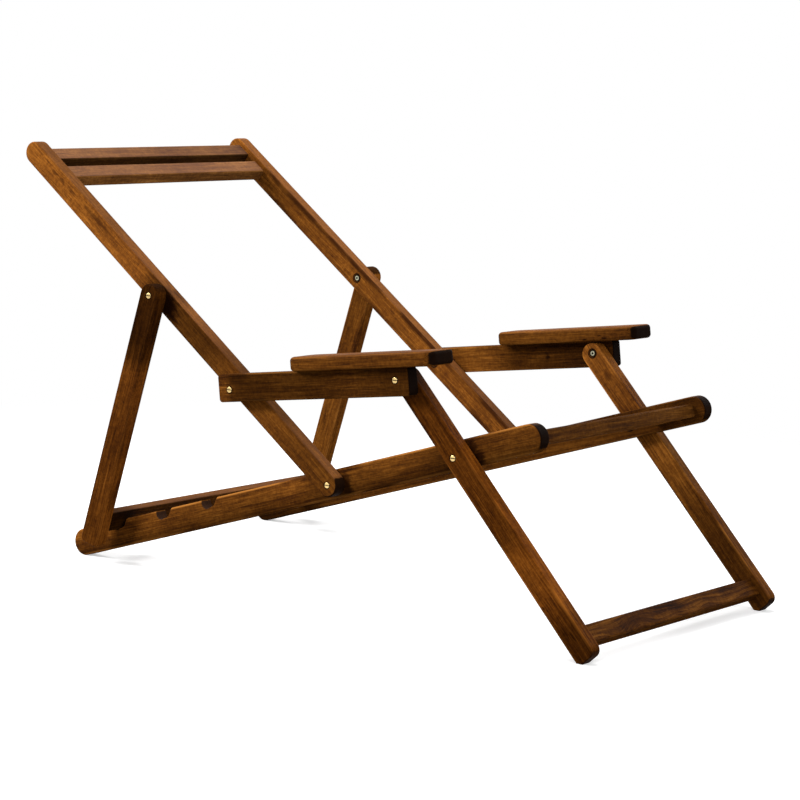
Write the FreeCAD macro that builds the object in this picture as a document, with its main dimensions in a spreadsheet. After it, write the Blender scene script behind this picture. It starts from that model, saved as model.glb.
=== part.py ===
import FreeCAD, Part
import Sketcher
import math
import os

# Folding wooden deck chair frame with arm rests, standing open with its prop bar in the rear notches.
# Row frame: +Z up, the sitter faces -Y, +X is the sitter's left, and the floor is Z = 0.
# Each side timber is drawn in its own flat frame: local Y runs along it, local Z across it in its own
# plane, and local X through its thickness. A frame below places it by turning it about X.

os.makedirs("parts", exist_ok=True)
doc = FreeCAD.newDocument("deck_chair")
sheet = doc.addObject("Spreadsheet::Sheet", "Sizes")
rows_used = []


def size(alias, value, meaning):
    """Write one driving dimension, in millimetres or degrees, as a named cell."""
    row = len(rows_used) + 1
    sheet.set(f"A{row}", meaning)
    sheet.set(f"B{row}", str(value))
    sheet.setAlias(f"B{row}", alias)
    rows_used.append(alias)


# Timber sections
side_thickness = 22
size("side_thickness", side_thickness, "thickness of every side timber, across the chair")
rail_height = 42
size("rail_height", rail_height, "height of a seat rail's section")
stile_width = 35
size("stile_width", stile_width, "width of a back stile")
leg_width = 35
size("leg_width", leg_width, "width of a leg")
prop_width = 35
size("prop_width", prop_width, "width of a prop")
arm_height = 41.7
size("arm_height", arm_height, "height of an arm rail's section")
arris_radius = 2.5
size("arris_radius", arris_radius, "rounding of the side timbers' long edges")

# Layers across the chair
rail_spacing = 424
size("rail_spacing", rail_spacing, "clear width between the seat rails")
inner_washer_gap = 1.2
size("inner_washer_gap", inner_washer_gap, "gap between a rail and the stile or leg beside it")
outer_washer_gap = 1.0
size("outer_washer_gap", outer_washer_gap, "gap between a stile or leg and the prop or arm beside it")

# Seat rails, measured from the back pivot
rail_rear_reach = 545
size("rail_rear_reach", rail_rear_reach, "back pivot to the rail's rear tip")
rail_front_reach = 371
size("rail_front_reach", rail_front_reach, "back pivot to the rail's front tip")
leg_pivot_reach = 232.5
size("leg_pivot_reach", leg_pivot_reach, "back pivot to leg pivot, along the rail")
leg_pivot_drop = 2.9
size("leg_pivot_drop", leg_pivot_drop, "leg pivot below the rail's centre line")

# Notches for the prop bar
notch_count = 3
size("notch_count", notch_count, "notches in each rail")
first_notch = 256.5
size("first_notch", first_notch, "back pivot to the foremost notch's bore")
notch_spacing = 95.5
size("notch_spacing", notch_spacing, "distance from notch to notch")
notch_depth = 14.5
size("notch_depth", notch_depth, "depth of a notch below the rail's top edge")
notch_bore_radius = 9.2
size("notch_bore_radius", notch_bore_radius, "radius at the bottom of a notch")
notch_toe_reach = 14
size("notch_toe_reach", notch_toe_reach, "bore centre to the foot of the lead-in slope")
notch_toe_rise = 3
size("notch_toe_rise", notch_toe_rise, "height of the slope's foot above the notch's bottom")
notch_mouth_reach = 24
size("notch_mouth_reach", notch_mouth_reach, "bore centre to the top of the lead-in slope")

# Back stiles, measured from the back pivot
stile_reach = 770
size("stile_reach", stile_reach, "back pivot to the stile's tip")
arm_pivot_reach = 210.9
size("arm_pivot_reach", arm_pivot_reach, "back pivot to arm pivot, along the stile")
arm_pivot_drop = 2.3
size("arm_pivot_drop", arm_pivot_drop, "arm pivot below the stile's centre line")
prop_pivot_reach = 418
size("prop_pivot_reach", prop_pivot_reach, "back pivot to prop pivot, along the stile")

# Legs, measured from the leg pivot
leg_foot_reach = 345.2
size("leg_foot_reach", leg_foot_reach, "leg pivot to the foot's end, along the leg")
knee_reach = 136
size("knee_reach", knee_reach, "leg pivot to knee pivot, along the leg")
leg_pivot_back = 2.9
size("leg_pivot_back", leg_pivot_back, "leg pivot behind the leg's centre line")
knee_front = 2.65
size("knee_front", knee_front, "knee pivot in front of the leg's centre line")
toe_radius = 12
size("toe_radius", toe_radius, "rounding of the foot's front corner")
sole_cut = 3.4
size("sole_cut", sole_cut, "depth of the flat sole cut on the foot's rear corner")

# Arms, measured from the arm pivot
arm_rear_reach = 21.6
size("arm_rear_reach", arm_rear_reach, "arm pivot to the arm rail's rear end")
arm_front_reach = 332
size("arm_front_reach", arm_front_reach, "arm pivot to the arm rail's front end")
arm_knee_reach = 307.9
size("arm_knee_reach", arm_knee_reach, "arm pivot to knee pivot, along the arm")
arm_rear_drop = 2.3
size("arm_rear_drop", arm_rear_drop, "arm pivot below the arm rail's centre line")
arm_knee_rise = 2.65
size("arm_knee_rise", arm_knee_rise, "knee pivot above the arm rail's centre line")
arm_corner_radius = 5
size("arm_corner_radius", arm_corner_radius, "rounding of the arm rail's corners in the side view")
board_start = 126
size("board_start", board_start, "arm pivot to the arm board's rear end")
board_length = 259
size("board_length", board_length, "length of an arm board")
board_width = 63
size("board_width", board_width, "width of an arm board")
board_thickness = 21.6
size("board_thickness", board_thickness, "thickness of an arm board")
board_inner_overhang = 24.2
size("board_inner_overhang", board_inner_overhang, "arm board past the arm rail's inner face")
board_corner_radius = 14
size("board_corner_radius", board_corner_radius, "rounding of the arm board's corners in plan")
board_edge_radius = 6
size("board_edge_radius", board_edge_radius, "rounding of the arm board's edges")

# Prop, measured from the prop pivot
prop_reach = 414
size("prop_reach", prop_reach, "prop pivot to the prop's lower end")
prop_corner_radius = 9
size("prop_corner_radius", prop_corner_radius, "rounding of the prop's lower corners")
bar_seat_reach = 381.8
size("bar_seat_reach", bar_seat_reach, "prop pivot to the centre of the prop bar's round edge")
bar_thickness = 17
size("bar_thickness", bar_thickness, "thickness of the prop bar")
bar_height = 34
size("bar_height", bar_height, "height of the prop bar")
bar_seat_gap = 0.35
size("bar_seat_gap", bar_seat_gap, "clearance between the prop bar and the notch")

# Slats and cross rails
slat_width = 28
size("slat_width", slat_width, "width of a sling slat")
slat_thickness = 20
size("slat_thickness", slat_thickness, "thickness of a sling slat")
sling_gap = 15
size("sling_gap", sling_gap, "slot between two sling slats, for the sling's hem")
slat_edge_radius = 3
size("slat_edge_radius", slat_edge_radius, "rounding of a slat's long edges")
top_slat_start = 682
size("top_slat_start", top_slat_start, "back pivot to the lower top slat's lower edge")
top_slat_setback = 1
size("top_slat_setback", top_slat_setback, "top slats' middle behind the stile's centre line")
front_slat_end = 351
size("front_slat_end", front_slat_end, "back pivot to the front slat's front edge")
foot_rail_start = 296.5
size("foot_rail_start", foot_rail_start, "leg pivot to the foot rail's upper edge")
foot_rail_width = 29
size("foot_rail_width", foot_rail_width, "width of the foot rail")
foot_rail_setback = 1.5
size("foot_rail_setback", foot_rail_setback, "foot rail's middle behind the leg's centre line")

# Dowels
dowel_diameter = 8
size("dowel_diameter", dowel_diameter, "diameter of the blind dowels")
dowel_length = 24
size("dowel_length", dowel_length, "length of a dowel")
dowel_end_room = 0.5
size("dowel_end_room", dowel_end_room, "space past each end of a dowel")
dowel_side_room = 0.1
size("dowel_side_room", dowel_side_room, "space round a dowel, on the radius")
dowel_pitch = 13
size("dowel_pitch", dowel_pitch, "distance between the two dowels at a slat's end")
board_dowel_count = 3
size("board_dowel_count", board_dowel_count, "dowels under each arm board")
board_dowel_margin = 35
size("board_dowel_margin", board_dowel_margin, "arm board's rear end to its first dowel")
board_dowel_span = 140
size("board_dowel_span", board_dowel_span, "first to last dowel under an arm board, all within the rail")

# Pivot hardware
shank_diameter = 6
size("shank_diameter", shank_diameter, "diameter of a pivot bolt's shank")
shank_room = 0.1
size("shank_room", shank_room, "space round a shank, on the radius")
head_diameter = 9
size("head_diameter", head_diameter, "diameter of a bolt's domed head")
head_height = 2
size("head_height", head_height, "height of a bolt's head")
head_dome_radius = 1.2
size("head_dome_radius", head_dome_radius, "rounding of a bolt's head")
slot_width = 1.4
size("slot_width", slot_width, "width of the driver slot across a bolt's head")
slot_depth = 0.9
size("slot_depth", slot_depth, "depth of the driver slot")
sunk_head_proud = 0.25
size("sunk_head_proud", sunk_head_proud, "height of a sunk head above the stile or leg")
open_head_proud = 1.3
size("open_head_proud", open_head_proud, "height of a head above the arm rail or prop")
head_room = 0.15
size("head_room", head_room, "space round a sunk head, on the radius")
nut_diameter = 8.6
size("nut_diameter", nut_diameter, "diameter of a round nut")
nut_height = 3.2
size("nut_height", nut_height, "height of a round nut")
nut_wall = 1.6
size("nut_wall", nut_wall, "end wall of a round nut")
nut_sink = 0.6
size("nut_sink", nut_sink, "nut's face below the timber's face")
socket_diameter = 3.8
size("socket_diameter", socket_diameter, "diameter of the round socket in a nut's face")
socket_depth = 0.8
size("socket_depth", socket_depth, "depth of the socket in a nut's face")
counterbore_diameter = 12.5
size("counterbore_diameter", counterbore_diameter, "diameter of the counterbore round a nut")
washer_diameter = 15
size("washer_diameter", washer_diameter, "diameter of a washer")
washer_room = 0.1
size("washer_room", washer_room, "space on each side of a washer")
knee_room = 0.3
size("knee_room", knee_room, "space between a knee washer and the leg")

doc.recompute()


def val(alias):
    """Read one driving dimension."""
    return float(sheet.get(alias))


# Layers: distance of each inner face from the chair's middle plane
rail_inner = val("rail_spacing") / 2
stile_inner = rail_inner + val("side_thickness") + val("inner_washer_gap")
prop_inner = stile_inner + val("side_thickness") + val("outer_washer_gap")
RAIL_INNER = "(Sizes.rail_spacing / 2)"
STILE_INNER = f"({RAIL_INNER} + Sizes.side_thickness + Sizes.inner_washer_gap)"
PROP_INNER = f"({STILE_INNER} + Sizes.side_thickness + Sizes.outer_washer_gap)"


# The open stance, worked out from the lengths

def direction(angle):
    """Unit vector in the side view, for an angle above the rearward horizontal."""
    return (math.cos(math.radians(angle)), math.sin(math.radians(angle)))


def along(origin, angle, forward, across):
    """Point in the side view, from local distances along and across a turned timber."""
    cos_part, sin_part = direction(angle)
    y = origin[0] + forward * cos_part - across * sin_part
    z = origin[1] + forward * sin_part + across * cos_part
    return (y, z)


def angle_to(start, end):
    """Angle above the rearward horizontal from one point to another."""
    return math.degrees(math.atan2(end[1] - start[1], end[0] - start[0]))


def corner_angle(side_a, side_b, opposite):
    """Angle between two sides of a triangle, in degrees."""
    cosine = (side_a ** 2 + side_b ** 2 - opposite ** 2) / (2 * side_a * side_b)
    return math.degrees(math.acos(cosine))


notch_bore_rise = val("rail_height") / 2 - val("notch_depth") + val("notch_bore_radius")
last_notch = val("first_notch") + (val("notch_count") - 1) * val("notch_spacing")
bar_set_forward = (val("prop_width") - val("bar_thickness")) / 2
prop_seat = math.hypot(val("bar_seat_reach") + val("bar_seat_gap"), bar_set_forward)
prop_seat_turn = math.degrees(math.atan2(bar_set_forward, val("bar_seat_reach")))


def opening_at(notch_reach):
    """Angle between rail and stile when the prop bar sits in the notch at this reach."""
    seat = math.hypot(notch_reach, notch_bore_rise)
    seat_rise = math.degrees(math.atan2(notch_bore_rise, notch_reach))
    return corner_angle(seat, val("prop_pivot_reach"), prop_seat) + seat_rise


# Angles first with the rail level, then all turned together until feet and rail ends share the floor
opening = opening_at(last_notch)
back_pivot = (0.0, 0.0)
leg_pivot = (-val("leg_pivot_reach"), -val("leg_pivot_drop"))
arm_pivot = along(back_pivot, opening, val("arm_pivot_reach"), -val("arm_pivot_drop"))
prop_pivot = along(back_pivot, opening, val("prop_pivot_reach"), 0)
notch_seat = (last_notch, notch_bore_rise)
prop_angle = angle_to(prop_pivot, notch_seat) + prop_seat_turn
arm_link = math.hypot(val("arm_knee_reach"), val("arm_rear_drop") + val("arm_knee_rise"))
leg_link = math.hypot(val("knee_reach"), val("leg_pivot_back") + val("knee_front"))
pivot_span = math.dist(leg_pivot, arm_pivot)
leg_line = angle_to(leg_pivot, arm_pivot) + corner_angle(pivot_span, leg_link, arm_link)
knee = along(leg_pivot, leg_line, leg_link, 0)
leg_skew = math.degrees(math.atan2(val("leg_pivot_back") + val("knee_front"), val("knee_reach")))
leg_angle = leg_line - leg_skew
arm_skew = math.degrees(math.atan2(val("arm_rear_drop") + val("arm_knee_rise"), val("arm_knee_reach")))
arm_angle = angle_to(knee, arm_pivot) + arm_skew
leg_start = along(leg_pivot, leg_angle, 0, val("leg_pivot_back"))
arm_start = along(arm_pivot, arm_angle, 0, val("arm_rear_drop"))
sole = along(leg_start, leg_angle, val("sole_cut") - val("leg_foot_reach"),
             val("sole_cut") - val("leg_width") / 2)
rear_round = (val("rail_rear_reach") - val("rail_height") / 2, 0.0)
sole_span = math.dist(sole, rear_round)
sole_line = angle_to(sole, rear_round)
tilt = -sole_line + math.degrees(math.asin(val("rail_height") / 2 / sole_span))


def tilted(point):
    """Turn a point about the back pivot by the chair's tilt."""
    return along(back_pivot, tilt, point[0], point[1])


# Frames in the side view: origin of each timber's centre line and its turn about X
frames = {
    "seat": (back_pivot, tilt),
    "back": (back_pivot, tilt + opening),
    "prop": (tilted(prop_pivot), tilt + prop_angle),
    "leg": (tilted(leg_start), tilt + leg_angle),
    "arm": (tilted(arm_start), tilt + arm_angle),
}
pivots = {
    "back_pivot": back_pivot,
    "leg_pivot": tilted(leg_pivot),
    "arm_pivot": tilted(arm_pivot),
    "prop_pivot": tilted(prop_pivot),
    "knee_pivot": tilted(knee),
}
floor_level = tilted(rear_round)[1] - val("rail_height") / 2

placed = []
nodes = []
ACROSS = FreeCAD.Rotation(FreeCAD.Vector(0, 1, 0), 90)
OVERSHOOT = 1
FIT = 1e-4


def put(item, frame, x):
    """Remember which frame an object stands in, and how far out from the middle plane."""
    placed.append((item, frame, x))


def bind(item, **formulas):
    """Tie properties of a feature to the sheet."""
    for name, formula in formulas.items():
        item.setExpression(name, formula)


def move(item, x="0", y="0", z="0"):
    """Tie the place of a feature in its body to the sheet."""
    item.setExpression("Placement.Base.x", x)
    item.setExpression("Placement.Base.y", y)
    item.setExpression("Placement.Base.z", z)


def node(label):
    """Start a body that becomes one named node."""
    body = doc.addObject("PartDesign::Body", label)
    body.Label = label
    return body


def block(body, name, length, width, height, x, y, z, kind="Additive"):
    """Add or cut a box: sizes along local X, Y, Z, and its lowest corner."""
    item = body.newObject(f"PartDesign::{kind}Box", name)
    bind(item, Length=length, Width=width, Height=height)
    move(item, x, y, z)
    return item


def rod(body, name, radius, length, x, y, z, kind="Additive", turn=ACROSS):
    """Add or cut a cylinder whose axis runs along local X unless another turn is given."""
    item = body.newObject(f"PartDesign::{kind}Cylinder", name)
    item.Placement = FreeCAD.Placement(FreeCAD.Vector(), turn)
    bind(item, Radius=radius, Height=length)
    move(item, x, y, z)
    return item


def round_over(body, name, radius, wanted):
    """Round the edges of a body's present shape that a rule picks."""
    doc.recompute()
    base = body.Tip
    edges = [f"Edge{i + 1}" for i, edge in enumerate(base.Shape.Edges) if wanted(edge)]
    if not edges:
        raise RuntimeError(f"{body.Label}: no edge to round for {name}")
    item = body.newObject("PartDesign::Fillet", name)
    item.Base = (base, edges)
    bind(item, Radius=radius)
    return item


def on_side_face(edge):
    """True for an edge that lies in one of the two faces of a side timber."""
    half = val("side_thickness") / 2
    points = [vertex.X for vertex in edge.Vertexes]
    points.append(edge.CenterOfMass.x)
    return all(abs(abs(x) - half) < FIT for x in points)


def runs_across(edge):
    """True for a straight edge along local X."""
    ends = edge.Vertexes
    if len(ends) != 2:
        return False
    return abs(ends[0].Y - ends[1].Y) < FIT and abs(ends[0].Z - ends[1].Z) < FIT


def across_at(y, z):
    """Rule for the straight edges along local X that pass one of the corners given."""
    def rule(edge):
        if not runs_across(edge):
            return False
        end = edge.Vertexes[0]
        return abs(end.Y - y) < FIT and abs(abs(end.Z) - abs(z)) < FIT and end.Z * z > 0
    return rule


def timber(body, width, start, end, round_start, round_end):
    """Side timber of one width, from one end to the other along local Y, with full round ends if asked."""
    half = f"{width} / 2"
    first = f"{start} + {half}" if round_start else start
    last = f"{end} - {half}" if round_end else end
    thickness = "Sizes.side_thickness"
    block(body, "blank", thickness, f"({last}) - ({first})", width, f"-{thickness} / 2", first, f"-{half}")
    if round_start:
        rod(body, "start_round", half, thickness, f"-{thickness} / 2", first, "0")
    if round_end:
        rod(body, "end_round", half, thickness, f"-{thickness} / 2", last, "0")


def bore(body, name, y, z):
    """Running hole for a pivot bolt, right through a side timber."""
    radius = "Sizes.shank_diameter / 2 + Sizes.shank_room"
    length = f"Sizes.side_thickness + {2 * OVERSHOOT}"
    rod(body, name, radius, length, f"-Sizes.side_thickness / 2 - {OVERSHOOT}", y, z, "Subtractive")


def sink(body, name, side, inner, radius, depth, y, z):
    """Counterbore in the inner or outer face of a side timber."""
    low_face = (side > 0) == inner
    start = f"-Sizes.side_thickness / 2 - {OVERSHOOT}"
    if not low_face:
        start = f"Sizes.side_thickness / 2 - ({depth})"
    rod(body, name, radius, f"{depth} + {OVERSHOOT}", start, y, z, "Subtractive")


NUT_SINK = "Sizes.nut_sink + Sizes.nut_height"
NUT_ROOM = "Sizes.counterbore_diameter / 2"
HEAD_ROOM = "Sizes.head_diameter / 2 + Sizes.head_room"
SUNK_HEAD = "Sizes.head_height - Sizes.sunk_head_proud"
OPEN_HEAD = "Sizes.head_height - Sizes.open_head_proud"
PEG_ROOM = "Sizes.dowel_diameter / 2 + Sizes.dowel_side_room"
PEG_DEPTH = "Sizes.dowel_length / 2 + Sizes.dowel_end_room"


def peg_holes(body, side, places):
    """Blind dowel holes in the inner face of a side timber."""
    for i, (y, z) in enumerate(places):
        sink(body, f"peg_hole_{i + 1}", side, True, PEG_ROOM, PEG_DEPTH, y, z)


def end_holes(body, half_length, places):
    """Blind dowel holes in both ends of a cross rail or slat."""
    for i, (y, z) in enumerate(places):
        length = f"{PEG_DEPTH} + {OVERSHOOT}"
        left = f"{half_length} - ({PEG_DEPTH})"
        right = f"-{half_length} - {OVERSHOOT}"
        rod(body, f"left_hole_{i + 1}", PEG_ROOM, length, left, y, z, "Subtractive")
        rod(body, f"right_hole_{i + 1}", PEG_ROOM, length, right, y, z, "Subtractive")


def cross_slat(label, frame, half_length, y, width, z, thickness):
    """Straight slat across the chair, centred at a place in a frame, with rounded long edges."""
    body = node(label)
    block(body, "blank", f"2 * {half_length}", width, thickness,
          f"-{half_length}", f"({y}) - ({width}) / 2", f"({z}) - ({thickness}) / 2")
    round_over(body, "edges", "Sizes.slat_edge_radius", runs_across)
    put(body, frame, 0)
    nodes.append(body)
    return body


def pegs(label, frame, half_length, places):
    """Dowels at both ends of a cross rail, as one node of separate solids."""
    parts = []
    for side, hand in ((1, "left"), (-1, "right")):
        for i, (y, z) in enumerate(places):
            peg = node(f"{label}_{hand}_{i + 1}")
            start = f"{side} * {half_length} - Sizes.dowel_length / 2"
            rod(peg, "peg", "Sizes.dowel_diameter / 2", "Sizes.dowel_length", start, y, z)
            put(peg, frame, 0)
            parts.append(peg)
    group(label, parts)


def group(label, parts):
    """Join separate pieces of one kind in one node."""
    item = doc.addObject("Part::Compound", label)
    item.Label = label
    item.Links = parts
    nodes.append(item)


# Where the dowels of each cross rail go, along and across its frame
TOP_LOW = "(Sizes.top_slat_start + Sizes.slat_width / 2)"
TOP_HIGH = "(Sizes.top_slat_start + Sizes.slat_width * 1.5 + Sizes.sling_gap)"
FRONT_FORE = "(-Sizes.front_slat_end + Sizes.slat_width / 2)"
FRONT_REAR = "(-Sizes.front_slat_end + Sizes.slat_width * 1.5 + Sizes.sling_gap)"
TOP_Z = "-Sizes.top_slat_setback"
FOOT_Y = "(-Sizes.foot_rail_start - Sizes.foot_rail_width / 2)"
FOOT_Z = "-Sizes.foot_rail_setback"
BAR_Y = "(Sizes.bar_seat_reach + Sizes.bar_thickness / 2 - Sizes.bar_height / 2)"
BAR_Z = "(-(Sizes.prop_width - Sizes.bar_thickness) / 2)"
HALF_PITCH = "Sizes.dowel_pitch / 2"


def pair(y, z):
    """Two dowel places, side by side along a timber."""
    return [(f"{y} - {HALF_PITCH}", z), (f"{y} + {HALF_PITCH}", z)]


top_places = pair(TOP_LOW, TOP_Z) + pair(TOP_HIGH, TOP_Z)
front_places = pair(FRONT_FORE, "0") + pair(FRONT_REAR, "0")
foot_places = pair(FOOT_Y, FOOT_Z)
bar_places = pair(BAR_Y, BAR_Z)


def notch(body, index):
    """One notch: a round seat, a steep rear wall and a sloping lead-in at the front."""
    centre = f"(Sizes.first_notch + {index} * Sizes.notch_spacing)"
    top = "Sizes.rail_height / 2"
    radius = "Sizes.notch_bore_radius"
    rise = f"({top} - Sizes.notch_depth + {radius})"
    thickness = f"Sizes.side_thickness + {2 * OVERSHOOT}"
    side = f"-Sizes.side_thickness / 2 - {OVERSHOOT}"
    rod(body, f"seat_{index}", radius, thickness, side, centre, rise, "Subtractive")
    block(body, f"throat_{index}", thickness, radius, f"{top} - {rise} + {OVERSHOOT}",
          side, centre, rise, "Subtractive")
    sketch = body.newObject("Sketcher::SketchObject", f"lead_in_{index}_outline")
    plane = [item for item in body.Origin.OriginFeatures if item.Role == "YZ_Plane"][0]
    sketch.AttachmentSupport = [(plane, "")]
    sketch.MapMode = "FlatFace"
    slope = "(Sizes.notch_depth - Sizes.notch_toe_rise) / (Sizes.notch_mouth_reach - Sizes.notch_toe_reach)"
    corners = [
        (centre, f"{top} - Sizes.notch_depth"),
        (f"{centre} - Sizes.notch_toe_reach", f"{top} - Sizes.notch_depth + Sizes.notch_toe_rise"),
        (f"{centre} - Sizes.notch_mouth_reach - {OVERSHOOT} / ({slope})", f"{top} + {OVERSHOOT}"),
        (centre, f"{top} + {OVERSHOOT}"),
    ]
    outline(sketch, corners)
    cut = body.newObject("PartDesign::Pocket", f"lead_in_{index}")
    cut.Profile = sketch
    cut.Type = "ThroughAll"
    cut.Midplane = True


def outline(sketch, corners):
    """Closed polygon whose corners are tied to the sheet."""
    count = len(corners)
    start = [(10.0 * math.cos(i * 2 * math.pi / count), 10.0 * math.sin(i * 2 * math.pi / count))
             for i in range(count)]
    points = [FreeCAD.Vector(start[-i][0], start[-i][1], 0) for i in range(count)]
    for i in range(count):
        sketch.addGeometry(Part.LineSegment(points[i], points[(i + 1) % count]))
    for i in range(count):
        sketch.addConstraint(Sketcher.Constraint("Coincident", i, 2, (i + 1) % count, 1))
    for i, (y, z) in enumerate(corners):
        for kind, formula in (("DistanceX", y), ("DistanceY", z)):
            place = points[i].x if kind == "DistanceX" else points[i].y
            index = sketch.addConstraint(Sketcher.Constraint(kind, -1, 1, i, 1, place))
            sketch.setExpression(f"Constraints[{index}]", formula)


def seat_rail(hand, side):
    """Seat rail with round ends, notches and both pivot holes."""
    body = node(f"seat_rail_{hand}")
    timber(body, "Sizes.rail_height", "-Sizes.rail_front_reach", "Sizes.rail_rear_reach", True, True)
    round_over(body, "arrises", "Sizes.arris_radius", on_side_face)
    for index in range(int(val("notch_count"))):
        notch(body, index)
    holes = (("back", "0", "0"), ("leg", "-Sizes.leg_pivot_reach", "-Sizes.leg_pivot_drop"))
    for name, y, z in holes:
        bore(body, f"{name}_bore", y, z)
        sink(body, f"{name}_nut_room", side, True, NUT_ROOM, NUT_SINK, y, z)
    peg_holes(body, side, front_places)
    put(body, "seat", side * (rail_inner + val("side_thickness") / 2))
    nodes.append(body)


def back_stile(hand, side):
    """Back stile with round ends and three pivot holes."""
    body = node(f"back_stile_{hand}")
    timber(body, "Sizes.stile_width", "-Sizes.stile_width / 2", "Sizes.stile_reach", True, True)
    round_over(body, "arrises", "Sizes.arris_radius", on_side_face)
    bore(body, "back_bore", "0", "0")
    sink(body, "back_head_room", side, False, HEAD_ROOM, SUNK_HEAD, "0", "0")
    holes = [("arm", "Sizes.arm_pivot_reach", "-Sizes.arm_pivot_drop")]
    holes.append(("prop", "Sizes.prop_pivot_reach", "0"))
    for name, y, z in holes:
        bore(body, f"{name}_bore", y, z)
        sink(body, f"{name}_nut_room", side, True, NUT_ROOM, NUT_SINK, y, z)
    peg_holes(body, side, top_places)
    put(body, "back", side * (stile_inner + val("side_thickness") / 2))
    nodes.append(body)


def leg(hand, side):
    """Leg with a round top, a rounded toe and a sole cut to the floor."""
    body = node(f"leg_{hand}")
    top = "Sizes.knee_reach + Sizes.leg_width / 2"
    timber(body, "Sizes.leg_width", "-Sizes.leg_foot_reach", top, False, True)
    toe = across_at(-val("leg_foot_reach"), val("leg_width") / 2)
    round_over(body, "toe_round", "Sizes.toe_radius", toe)
    room = val("leg_width") * 2
    cut = block(body, "sole", f"Sizes.side_thickness + {2 * OVERSHOOT}", str(room), str(room), "0", "0", "0",
                "Subtractive")
    below = FreeCAD.Rotation(FreeCAD.Vector(1, 0, 0), -frames["leg"][1])
    corner_y = val("sole_cut") - val("leg_foot_reach")
    corner_z = val("sole_cut") - val("leg_width") / 2
    shift = below.multVec(FreeCAD.Vector(0, -room / 2, -room))
    for axis in ("x", "y", "z"):
        cut.setExpression(f"Placement.Base.{axis}", None)
    place = FreeCAD.Vector(-val("side_thickness") / 2 - OVERSHOOT, corner_y, corner_z) + shift
    cut.Placement = FreeCAD.Placement(place, below)
    round_over(body, "arrises", "Sizes.arris_radius", on_side_face)
    bore(body, "leg_bore", "0", "-Sizes.leg_pivot_back")
    sink(body, "leg_head_room", side, False, HEAD_ROOM, SUNK_HEAD, "0", "-Sizes.leg_pivot_back")
    bore(body, "knee_bore", "Sizes.knee_reach", "Sizes.knee_front")
    sink(body, "knee_nut_room", side, True, NUT_ROOM, NUT_SINK, "Sizes.knee_reach", "Sizes.knee_front")
    peg_holes(body, side, foot_places)
    put(body, "leg", side * (stile_inner + val("side_thickness") / 2))
    nodes.append(body)


def prop(hand, side):
    """Prop with a round top and softly rounded lower corners."""
    body = node(f"prop_{hand}")
    timber(body, "Sizes.prop_width", "-Sizes.prop_width / 2", "Sizes.prop_reach", True, False)
    half = val("prop_width") / 2

    def lower_corner(edge):
        return runs_across(edge) and abs(edge.Vertexes[0].Y - val("prop_reach")) < FIT

    round_over(body, "corners", f"min(Sizes.prop_corner_radius; {half} - 1)", lower_corner)
    round_over(body, "arrises", "Sizes.arris_radius", on_side_face)
    bore(body, "prop_bore", "0", "0")
    sink(body, "prop_head_room", side, False, HEAD_ROOM, OPEN_HEAD, "0", "0")
    peg_holes(body, side, bar_places)
    put(body, "prop", side * (prop_inner + val("side_thickness") / 2))
    nodes.append(body)


def arm_rail(hand, side):
    """Arm rail on edge under the arm board."""
    body = node(f"arm_rail_{hand}")
    rear = "Sizes.arm_rear_reach"
    timber(body, "Sizes.arm_height", "-Sizes.arm_front_reach", rear, False, False)
    round_over(body, "corners", "Sizes.arm_corner_radius", runs_across)
    round_over(body, "arrises", "Sizes.arris_radius", on_side_face)
    holes = [("arm", "0", "-Sizes.arm_rear_drop")]
    holes.append(("knee", "-Sizes.arm_knee_reach", "Sizes.arm_knee_rise"))
    for name, y, z in holes:
        bore(body, f"{name}_bore", y, z)
        sink(body, f"{name}_head_room", side, False, HEAD_ROOM, OPEN_HEAD, y, z)
    for i, y in enumerate(board_peg_places()):
        top = "Sizes.arm_height / 2"
        rod(body, f"board_peg_hole_{i + 1}", PEG_ROOM, f"{PEG_DEPTH} + {OVERSHOOT}", "0", y,
            f"{top} - ({PEG_DEPTH})", "Subtractive", FreeCAD.Rotation())
    put(body, "arm", side * (prop_inner + val("side_thickness") / 2))
    nodes.append(body)


def board_peg_places():
    """Places of the dowels under an arm board, along the arm."""
    count = int(val("board_dowel_count"))
    first = "(-Sizes.board_start - Sizes.board_dowel_margin)"
    step = f"(Sizes.board_dowel_span / {max(count - 1, 1)})"
    return [f"{first} - {i} * {step}" for i in range(count)]


def arm_board(hand, side):
    """Arm board lying on the arm rail, wider to the inside."""
    body = node(f"arm_board_{hand}")
    width = "Sizes.board_width"
    inner = "(-Sizes.side_thickness / 2 - Sizes.board_inner_overhang)"
    low = inner if side > 0 else f"(-({inner}) - {width})"
    bottom = "Sizes.arm_height / 2"
    block(body, "blank", width, "Sizes.board_length", "Sizes.board_thickness",
          low, "-Sizes.board_start - Sizes.board_length", bottom)

    def upright(edge):
        ends = edge.Vertexes
        return abs(ends[0].X - ends[1].X) < FIT and abs(ends[0].Y - ends[1].Y) < FIT

    def flat_edge(edge):
        height = val("arm_height") / 2
        levels = (height, height + val("board_thickness"))
        return any(all(abs(vertex.Z - level) < FIT for vertex in edge.Vertexes) for level in levels)

    round_over(body, "plan_corners", "Sizes.board_corner_radius", upright)
    round_over(body, "edges", "Sizes.board_edge_radius", flat_edge)
    for i, y in enumerate(board_peg_places()):
        rod(body, f"peg_hole_{i + 1}", PEG_ROOM, f"{PEG_DEPTH} + {OVERSHOOT}", "0", y,
            f"{bottom} - {OVERSHOOT}", "Subtractive", FreeCAD.Rotation())
    put(body, "arm", side * (prop_inner + val("side_thickness") / 2))
    nodes.append(body)
    parts = []
    for i, y in enumerate(board_peg_places()):
        peg = node(f"arm_board_dowel_{hand}_{i + 1}")
        rod(peg, "peg", "Sizes.dowel_diameter / 2", "Sizes.dowel_length", "0", y,
            f"{bottom} - Sizes.dowel_length / 2", turn=FreeCAD.Rotation())
        put(peg, "arm", side * (prop_inner + val("side_thickness") / 2))
        parts.append(peg)
    group(f"arm_board_dowels_{hand}", parts)


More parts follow.
